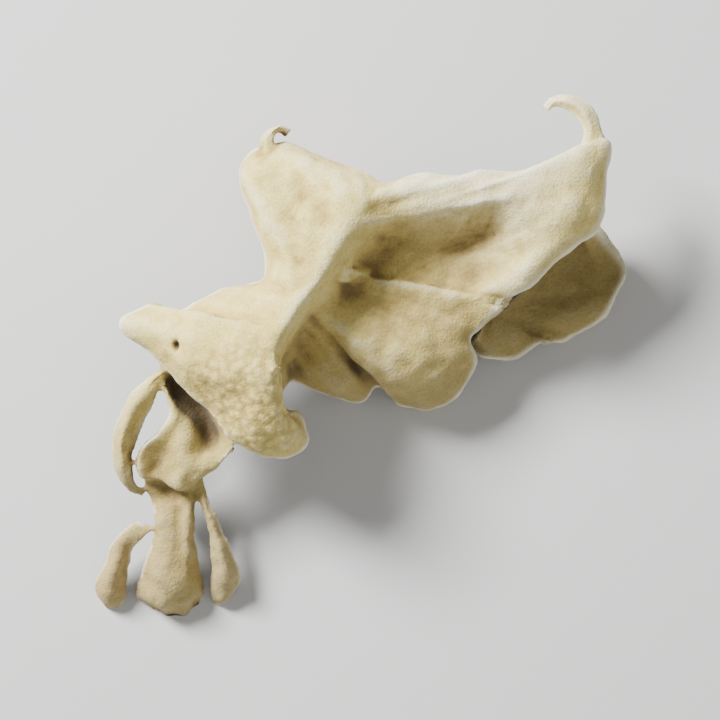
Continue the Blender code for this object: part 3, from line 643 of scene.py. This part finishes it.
def in_round(centre, core, reach, narrowing=1.0):
    """1 in the core of a round in plan, 0 beyond its reach, for every point. Narrowing is along X."""
    away = (places[:, :2] - np.array(centre)) * (narrowing, 1.0)
    return 1.0 - smooth(np.linalg.norm(away, axis=1), core, reach)


places = np.zeros(count * 3)
ear.data.vertices.foreach_get("co", places)
places = places.reshape(-1, 3)
black = smooth(depth / SHEET_THICKNESS, *BLACK_DEPTH)
upper = smooth(places[:, 2], *UPPER_LAYER)
hump = in_round(HUMP_CENTRE, HUMP_CORE, HUMP_REACH) * upper
pit = in_round(PIT_CENTRE, PIT_CORE, PIT_REACH, PIT_NARROWING) * (1.0 - black) * upper
relief = np.zeros(count)
crevice_shade = np.zeros(count)
for i in range(count):
    place = Vector(places[i])
    if black[i] < 1.0:
        nearest = noise.voronoi(place / PEBBLE_SIZE)[0][0]
        pebble = PEBBLE_HEIGHT * hump[i] * (PEBBLE_SIDE - nearest)
        felt = FELT_HEIGHT * cloud(place, FELT_SIZE)
        relief[i] += (1.0 - black[i]) * (pebble + felt)
        crevice_shade[i] = hump[i] * (1.0 - fade(nearest, *CREVICE_START))
    if black[i] > 0.0:
        vein = 1.0 - 2.0 * abs(noise.noise(place / VEIN_SIZE))
        relief[i] -= black[i] * VEIN_HEIGHT * vein
thinner = (SHEET_THICKNESS - MARGIN_THICKNESS) * (1.0 - smooth(margin, 0.0, THINNING_REACH))
sink = thinner * np.clip(depth / SHEET_THICKNESS, 0.0, 1.0)
moved = places + facing * (lift + relief + sink - PIT_DEPTH * pit)[:, None]
moved[:, 2] = np.maximum(moved[:, 2], FLOOR_LEVEL)
ear.data.vertices.foreach_set("co", moved.ravel())
ear.data.update()
print("furthest move:", round(float(np.abs(moved - places).max()) / MM, 2), "mm")

# %% [markdown]
# ## What the colours and the painted light and shade follow
# The crests are painted a light ivory, as painted highlight, and the hollows a brown, as painted shade. That
# needs measures of crest and hollow. The points are averaged with their neighbours many times, and each
# point's height over its averaged place, along its normal, says how much it stands out. How sheltered a point
# lies, for the painted shade in the hollows and under overhangs, could come from a baked map, but that needs
# an image, so a few short rays are cast from each point instead.

# %% Measure crests and hollows
NEAR_ROUNDS = 6
FAR_ROUNDS = 70


def averaged(points, edges, rounds):
    """The points after being averaged with their neighbours a number of times."""
    neighbours = np.bincount(edges.ravel(), minlength=len(points))[:, None]
    for _ in range(rounds):
        total = np.zeros_like(points)
        for axis in range(points.shape[1]):
            total[:, axis] += np.bincount(edges[:, 0], points[edges[:, 1], axis], len(points))
            total[:, axis] += np.bincount(edges[:, 1], points[edges[:, 0], axis], len(points))
        points = 0.5 * points + 0.5 * total / neighbours
    return points


edges = np.zeros(len(ear.data.edges) * 2, dtype=np.int64)
ear.data.edges.foreach_get("vertices", edges)
edges = edges.reshape(-1, 2)
normals = np.zeros(count * 3)
ear.data.vertex_normals.foreach_get("vector", normals)
normals = normals.reshape(-1, 3)
crest_near = ((moved - averaged(moved, edges, NEAR_ROUNDS)) * normals).sum(axis=1)
crest_far = ((moved - averaged(moved, edges, FAR_ROUNDS)) * normals).sum(axis=1)
print("fine crests:", np.percentile(crest_near / MM, (5, 50, 95)).round(3))
print("broad crests:", np.percentile(crest_far / MM, (5, 50, 95)).round(3))

# %% Measure how sheltered each point of the pale side is, for its painted shade
SHELTER_RAYS = 16
SHELTER_REACH = 6.0 * MM
SHELTER_ROUNDS = 6
RAY_START = 0.06 * MM
GOLDEN_TURN = math.pi * (3.0 - math.sqrt(5.0))
# A direction that no point faces exactly, to start two directions along the skin from
SLANT = (0.31, 0.87, 0.38)


def sky_directions(total):
    """Directions spread over the upper half of a ball, closer together near its top."""
    made = []
    for k in range(total):
        flat = math.sqrt((k + 0.5) / total)
        turn = k * GOLDEN_TURN
        made.append((flat * math.cos(turn), flat * math.sin(turn), math.sqrt(1.0 - flat * flat)))
    return made


skin_tree = BVHTree.FromObject(ear, bpy.context.evaluated_depsgraph_get())
aside = np.cross(normals, SLANT)
aside /= np.linalg.norm(aside, axis=1)[:, None]
along = np.cross(normals, aside)
starts = moved + normals * RAY_START
pale_points = np.flatnonzero(black < 1.0)
painted_shade_shelter = np.zeros(count)
for x, y, z in sky_directions(SHELTER_RAYS):
    headings = (aside * x + along * y + normals * z).tolist()
    for i in pale_points:
        distance = skin_tree.ray_cast(starts[i], headings[i], SHELTER_REACH)[3]
        if distance is not None:
            painted_shade_shelter[i] += (1.0 - distance / SHELTER_REACH) / SHELTER_RAYS
painted_shade_shelter = averaged(painted_shade_shelter[:, None], edges, SHELTER_ROUNDS)[:, 0]
print("shelter:", np.percentile(painted_shade_shelter[pale_points], (5, 50, 95)).round(3))

# %% Write the measures on the mesh
# These heights over the averaged place are the whole step from the deepest hollow to the highest crest
FINE_SPAN = 0.10 * MM
BROAD_SPAN = 0.60 * MM
# The sheet turns down at its visible edge, which is this share of the way out to the edge of its lip. The
# whitish line on it is full up to its core, and ends at its width.
BRINK = 0.86
BRINK_CORE = 0.012
BRINK_WIDTH = 0.055
# The ear is low up to the first height, and no longer low at the second. Its low parts are painted darker,
# towards tan, as painted shade, with some of the real brown of the lower lobes.
LOW_LAYER = (4.0 * MM, 14.5 * MM)
# Where the flesh dried golden or pinkish, and the nearly white painted highlight on the wing's top band, in
# millimetres: a centre in plan, how far from it the colour is full, and how far it reaches
PATCHES = {
    "golden": ((-15.0, -4.5), 6.0, 17.0),
    "painted_highlight_band": ((13.0, 20.5), 4.0, 13.0),
    "blush": ((-27.4, -23.4), 2.5, 6.0),
}
measures = {
    "black": black,
    "margin": margin / MM,
    "painted_shade_shelter": painted_shade_shelter,
    "crest": np.clip(0.5 + crest_near / FINE_SPAN, 0.0, 1.0),
    "ridge": np.clip(0.5 + crest_far / BROAD_SPAN, 0.0, 1.0),
    "crevice_shade": crevice_shade,
    "brink": on_sheet * (1.0 - smooth(np.abs(way_out - BRINK), BRINK_CORE, BRINK_WIDTH)),
    "pit": pit,
    "painted_low_shade": 1.0 - smooth(moved[:, 2], *LOW_LAYER),
}
for name, (centre, core, reach) in PATCHES.items():
    away = np.linalg.norm(moved[:, :2] - np.array(centre) * MM, axis=1)
    measures[name] = 1.0 - smooth(away, core * MM, reach * MM)
for name, values in measures.items():
    ear.data.attributes.new(name, "FLOAT", "POINT").data.foreach_set("value", values.astype(np.float32))
print("measures:", list(measures))

# %% Give each face its side
faces_black = np.zeros(len(ear.data.polygons), dtype=np.int32)
for i, polygon in enumerate(ear.data.polygons):
    faces_black[i] = 1 if black[list(polygon.vertices)].mean() > 0.5 else 0
ear.data.polygons.foreach_set("material_index", faces_black)
ear.data.shade_smooth()
print("black faces:", int(faces_black.sum()), "of", len(faces_black))

# %% [markdown]
# ## Finishes
# Both sides of the ear have a fine grain, so the grain is a node group with its own inputs, placed in each
# material. The pale side is a felt of tiny hairs: rough, with a sheen. The black side is a smooth, tight skin
# that dried into fine wrinkles, so it is dark and half glossy.

# %% A helper for nodes
def add(tree, kind, **values):
    """Adds a node and sets its properties, and its inputs where the name is an input's."""
    made = tree.nodes.new(kind)
    for name, value in values.items():
        if hasattr(made, name):
            setattr(made, name, value)
        else:
            made.inputs[name.replace("_", " ")].default_value = value
    return made


def ramp(tree, factor, stops):
    """A colour ramp over a factor, with its stops as (place, colour)."""
    made = tree.nodes.new("ShaderNodeValToRGB")
    elements = made.color_ramp.elements
    for number, (place, colour) in enumerate(stops):
        stop = elements[number] if number < 2 else elements.new(place)
        stop.position = place
        stop.color = (*colour, 1.0)
    tree.links.new(factor, made.inputs["Fac"])
    return made.outputs["Color"]


def maths(tree, operation, first, second, clamp=False):
    """A math node on sockets or numbers."""
    made = tree.nodes.new("ShaderNodeMath")
    made.operation = operation
    made.use_clamp = clamp
    for socket, value in zip(made.inputs, (first, second)):
        if isinstance(value, (int, float)):
            socket.default_value = value
        else:
            tree.links.new(value, socket)
    return made.outputs["Value"]


def mixed(tree, factor, first, second, blend="MIX"):
    """A colour mix of two sockets or colours by a factor socket or number."""
    made = tree.nodes.new("ShaderNodeMix")
    made.data_type = "RGBA"
    made.blend_type = blend
    for socket, value in ((made.inputs[0], factor), (made.inputs[6], first), (made.inputs[7], second)):
        if isinstance(value, (int, float)):
            socket.default_value = value
        elif isinstance(value, tuple):
            socket.default_value = (*value, 1.0)
        else:
            tree.links.new(value, socket)
    return made.outputs[2]


def measure(tree, name):
    """A number stored on the mesh."""
    return add(tree, "ShaderNodeAttribute", attribute_name=name).outputs["Fac"]


def share_of(tree, name, share):
    """A measure of the mesh times a number."""
    return maths(tree, "MULTIPLY", measure(tree, name), share)


def stepped(tree, name, start, end):
    """A measure of the mesh, eased from 0 at start to 1 at end."""
    made = add(tree, "ShaderNodeMapRange", interpolation_type="SMOOTHSTEP")
    made.inputs["From Min"].default_value = start
    made.inputs["From Max"].default_value = end
    tree.links.new(measure(tree, name), made.inputs["Value"])
    return made.outputs["Result"]


print("node helpers ready")

# %% The grain that both sides share
# How much the little hollows between the cells count against the fine noise
CELL_SHARE = 0.5
grain_group = bpy.data.node_groups.new("fungus_grain", "ShaderNodeTree")
for socket_name, value in (("Grain Size", 0.35), ("Mottle Size", 4.0)):
    socket = grain_group.interface.new_socket(socket_name, in_out="INPUT", socket_type="NodeSocketFloat")
    socket.default_value = value
for socket_name in ("Grain", "Mottle", "Height"):
    grain_group.interface.new_socket(socket_name, in_out="OUTPUT", socket_type="NodeSocketFloat")
inputs = add(grain_group, "NodeGroupInput")
outputs = add(grain_group, "NodeGroupOutput")
coordinates = add(grain_group, "ShaderNodeTexCoord").outputs["Object"]


def group_noise(size_name, detail, roughness):
    """Noise whose grains measure an input of the group, in millimetres."""
    scale = maths(grain_group, "DIVIDE", 1.0 / MM, inputs.outputs[size_name])
    made = add(grain_group, "ShaderNodeTexNoise", Detail=detail, Roughness=roughness)
    grain_group.links.new(coordinates, made.inputs["Vector"])
    grain_group.links.new(scale, made.inputs["Scale"])
    return made.outputs["Fac"]


fine = group_noise("Grain Size", 4.0, 0.65)
broad = group_noise("Mottle Size", 5.0, 0.6)
cell_scale = maths(grain_group, "DIVIDE", 1.0 / MM, inputs.outputs["Grain Size"])
cells = add(grain_group, "ShaderNodeTexVoronoi")
grain_group.links.new(coordinates, cells.inputs["Vector"])
grain_group.links.new(cell_scale, cells.inputs["Scale"])
hollows = maths(grain_group, "MULTIPLY", cells.outputs["Distance"], CELL_SHARE)
height = maths(grain_group, "SUBTRACT", fine, hollows)
grain_group.links.new(fine, outputs.inputs["Grain"])
grain_group.links.new(broad, outputs.inputs["Mottle"])
grain_group.links.new(height, outputs.inputs["Height"])
print("group sockets:", [item.name for item in grain_group.interface.items_tree])

# %% The colours of the pale, velvety side
IVORY = (0.86, 0.71, 0.24)
CREAM = (0.64, 0.49, 0.14)
TAN = (0.30, 0.195, 0.060)
UMBER = (0.060, 0.036, 0.012)
RIM_CREAM = (0.93, 0.84, 0.48)
GOLD = (0.80, 0.62, 0.10)
CHALK = (0.97, 0.92, 0.66)
PINK = (0.64, 0.40, 0.21)
CREVICE_SHADE_BROWN = (0.40, 0.28, 0.08)
LOW_SHADE_TAN = (0.40, 0.295, 0.105)
# Both sides meet in this brown, so that no hard line shows between their materials
BORDER_BROWN = (0.15, 0.095, 0.035)
# The tone runs from the crests, painted light as painted highlight, to the hollows, painted dark as painted
# shade; the mottle in it is the real uneven colour. These say how much each measure and the mottle count in
# it.
BROAD_SHARE = 0.6
FINE_SHARE = 0.4
MOTTLE_SHARE = 0.9
# Other colours: where they lie, how strong they are and what they are. The first ones follow the tone too, so
# they are strongest on the crests where the tone paints light; the white one is a painted highlight.
TONE_FOLLOWING_TINTS = (("golden", 0.55, GOLD), ("painted_highlight_band", 0.85, CHALK))
# The blush is the flesh's own colour; the low parts of the ear are painted towards tan, as painted shade with
# some of their own brown
PLAIN_TINTS_AND_LOW_SHADE = (("blush", 0.5, PINK), ("painted_low_shade", 0.8, LOW_SHADE_TAN))
CREVICE_SHADE_SHARE = 0.5
# Specks lie where the grain is under this level
SPECK_LEVEL = 0.56
SPECK_CONTRAST = 1.2
# How fast the whitish rim fades for each millimetre from the margin. The mottle breaks it up.
PALE_RIM_FADE = 1.6
RIM_EVENNESS = 0.3
# Painted shade: hollows and the sheet under overhangs are painted darker as they become sheltered, from the
# first to the second of these
SHELTERED = (0.10, 0.36)
HOLLOW_SHADE_SHARE = 0.9
PALE_BORDER = (0.15, 0.5)
print("tints:", [name for name, _, _ in TONE_FOLLOWING_TINTS + PLAIN_TINTS_AND_LOW_SHADE])

# %% A finish that has the grain in it
def finish(name, grain_size, mottle_size):
    """A new material with its tree, its shader and the shared grain, whose sizes are in millimetres."""
    made = bpy.data.materials.new(name)
    made.use_nodes = True
    tree = made.node_tree
    grain = add(tree, "ShaderNodeGroup")
    grain.node_tree = grain_group
    grain.inputs["Grain Size"].default_value = grain_size
    grain.inputs["Mottle Size"].default_value = mottle_size
    return made, tree, tree.nodes["Principled BSDF"], grain


def grained(tree, shader, grain, strength, distance):
    """Gives a shader the relief of its grain."""
    bump = add(tree, "ShaderNodeBump", Strength=strength, Distance=distance)
    tree.links.new(grain.outputs["Height"], bump.inputs["Height"])
    tree.links.new(bump.outputs["Normal"], shader.inputs["Normal"])


def rim_of(tree, fade_rate):
    """1 on the free margin, fading at a rate for each millimetre away from it."""
    return maths(tree, "SUBTRACT", 1.0, share_of(tree, "margin", fade_rate), clamp=True)


print("finish helpers ready")

# %% Paint the pale side
velvet, tree, shader, grain = finish("pale_velvet", 0.30, 4.5)
# Painted light: the tone paints the crests lighter, towards ivory, as painted highlight, and the hollows
# darker, towards tan, as painted shade; the mottle in it is the real uneven colour
painted_light_from_relief = maths(tree, "ADD", share_of(tree, "ridge", BROAD_SHARE), share_of(tree, "crest", FINE_SHARE))
mottle = maths(tree, "MULTIPLY", maths(tree, "SUBTRACT", grain.outputs["Mottle"], 0.5), MOTTLE_SHARE)
painted_light_and_mottle = maths(tree, "ADD", painted_light_from_relief, mottle, clamp=True)
colour = ramp(tree, painted_light_and_mottle, ((0.0, TAN), (0.30, CREAM), (0.62, IVORY), (1.0, RIM_CREAM)))
for name, share, tint in TONE_FOLLOWING_TINTS:
    # The golden hump is the flesh's own colour; the nearly white wing band is a painted highlight
    colour = mixed(tree, maths(tree, "MULTIPLY", share_of(tree, name, share), painted_light_and_mottle), colour, tint)
for name, share, tint in PLAIN_TINTS_AND_LOW_SHADE:
    colour = mixed(tree, share_of(tree, name, share), colour, tint)
under_level = maths(tree, "SUBTRACT", SPECK_LEVEL, grain.outputs["Grain"])
speck = maths(tree, "MULTIPLY", under_level, SPECK_CONTRAST, clamp=True)
colour = mixed(tree, speck, colour, TAN, "MULTIPLY")
rim = maths(tree, "MAXIMUM", rim_of(tree, PALE_RIM_FADE), measure(tree, "brink"))
unbroken = maths(tree, "ADD", grain.outputs["Mottle"], RIM_EVENNESS)
colour = mixed(tree, maths(tree, "MULTIPLY", rim, unbroken, clamp=True), colour, CHALK)
# Painted shade: the crevices between the hump's pebbles are painted golden brown, partly their own colour and
# partly the shade that falls in them
colour = mixed(tree, share_of(tree, "crevice_shade", CREVICE_SHADE_SHARE), colour, CREVICE_SHADE_BROWN)
# Painted shade: the sheltered hollows and the sheet under the overhangs are painted towards umber
painted_hollow_shade = maths(tree, "MULTIPLY", stepped(tree, "painted_shade_shelter", *SHELTERED), HOLLOW_SHADE_SHARE)
colour = mixed(tree, painted_hollow_shade, colour, UMBER)
colour = mixed(tree, measure(tree, "pit"), colour, UMBER)
colour = mixed(tree, stepped(tree, "black", *PALE_BORDER), colour, BORDER_BROWN)
tree.links.new(colour, shader.inputs["Base Color"])
for name, value in (("Roughness", 0.85), ("Sheen Weight", 0.10), ("Sheen Roughness", 0.5)):
    shader.inputs[name].default_value = value
grained(tree, shader, grain, 0.6, 0.12 * MM)
ear.data.materials.append(velvet)
print("pale side:", len(tree.nodes), "nodes")

# %% Paint the black side
JET = (0.010, 0.009, 0.010)
BROWN_BLACK = (0.045, 0.030, 0.022)
BLACK_CREST_LIGHT_SHARE = 0.5
BLACK_MOTTLE_SHARE = 0.6
BLACK_RIM_FADE = 2.4
BLACK_RIM_SHARE = 0.8
BLACK_BORDER = (0.95, 0.5)
# The skin is glossiest where there is no mottle, and the mottle dulls it
GLOSSIEST = 0.22
DULLING = 0.35
black_skin, tree, shader, grain = finish("black_skin", 0.22, 3.0)
# Painted light: the crests of the black side are painted browner, as painted highlight, and the mottle adds
# its real uneven colour
mottle = maths(tree, "MULTIPLY", grain.outputs["Mottle"], BLACK_MOTTLE_SHARE)
painted_light_and_mottle = maths(tree, "ADD", share_of(tree, "crest", BLACK_CREST_LIGHT_SHARE), mottle, clamp=True)
colour = ramp(tree, painted_light_and_mottle, ((0.25, JET), (0.85, BROWN_BLACK)))
rim = maths(tree, "MULTIPLY", rim_of(tree, BLACK_RIM_FADE), BLACK_RIM_SHARE)
colour = mixed(tree, rim, colour, TAN)
colour = mixed(tree, stepped(tree, "black", *BLACK_BORDER), colour, BORDER_BROWN)
tree.links.new(colour, shader.inputs["Base Color"])
rough = maths(tree, "ADD", maths(tree, "MULTIPLY", grain.outputs["Mottle"], DULLING), GLOSSIEST)
tree.links.new(rough, shader.inputs["Roughness"])
grained(tree, shader, grain, 0.35, 0.10 * MM)
ear.data.materials.append(black_skin)
print("black side:", len(tree.nodes), "nodes")

# %% [markdown]
# ## The stage
# The reference looks straight down on the ear. A long lens from above keeps its outline true, a soft light
# from the upper left draws the folds, and two weak ones, from the right and the front, open the shadows.

# %% Lay the floor
FLOOR_SIDE = 1.2
PAPER = (0.72, 0.72, 0.71, 1.0)
floor_shape = bmesh.new()
bmesh.ops.create_grid(floor_shape, x_segments=1, y_segments=1, size=FLOOR_SIDE / 2)
floor_mesh = bpy.data.meshes.new("floor")
floor_shape.to_mesh(floor_mesh)
floor_shape.free()
floor = linked("floor", floor_mesh)
paper = bpy.data.materials.new("pale_paper")
paper.use_nodes = True
paper_shader = paper.node_tree.nodes["Principled BSDF"]
paper_shader.inputs["Base Color"].default_value = PAPER
paper_shader.inputs["Roughness"].default_value = 0.9
floor.data.materials.append(paper)
print("floor side:", FLOOR_SIDE, "m")

# %% Light it and look down on it
# Each light's power in watts, its side in metres and its place
LIGHTS = {
    "key": (7.0, 0.14, (-0.28, 0.26, 0.26)),
    "fill": (0.3, 0.35, (0.34, -0.10, 0.26)),
    "front": (0.3, 0.30, (0.0, -0.40, 0.25)),
}
EAR_MIDDLE = Vector((0.0, 0.0, 0.008))
SKY_STRENGTH = 0.22
CAMERA_HEIGHT = 0.30
LENS = 135.0
for name, (power, side, place) in LIGHTS.items():
    lamp = bpy.data.lights.new(name, "AREA")
    lamp.energy = power
    lamp.size = side
    light = linked(name, lamp)
    light.location = place
    light.rotation_euler = (EAR_MIDDLE - Vector(place)).to_track_quat("-Z", "Y").to_euler()
world = bpy.data.worlds.new("studio")
world.use_nodes = True
sky = world.node_tree.nodes["Background"]
sky.inputs["Color"].default_value = (1.0, 1.0, 1.0, 1.0)
sky.inputs["Strength"].default_value = SKY_STRENGTH
bpy.context.scene.world = world
camera = linked("camera", bpy.data.cameras.new("camera"))
camera.data.lens = LENS
camera.data.clip_start = 0.01
camera.location = (0.0, 0.0, CAMERA_HEIGHT)
bpy.context.scene.camera = camera
print("lights:", list(LIGHTS), "camera height:", CAMERA_HEIGHT, "m, lens:", LENS, "mm")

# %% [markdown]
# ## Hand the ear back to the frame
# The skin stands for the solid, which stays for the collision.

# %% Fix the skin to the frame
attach(ear, "root")
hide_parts("wood_ear")
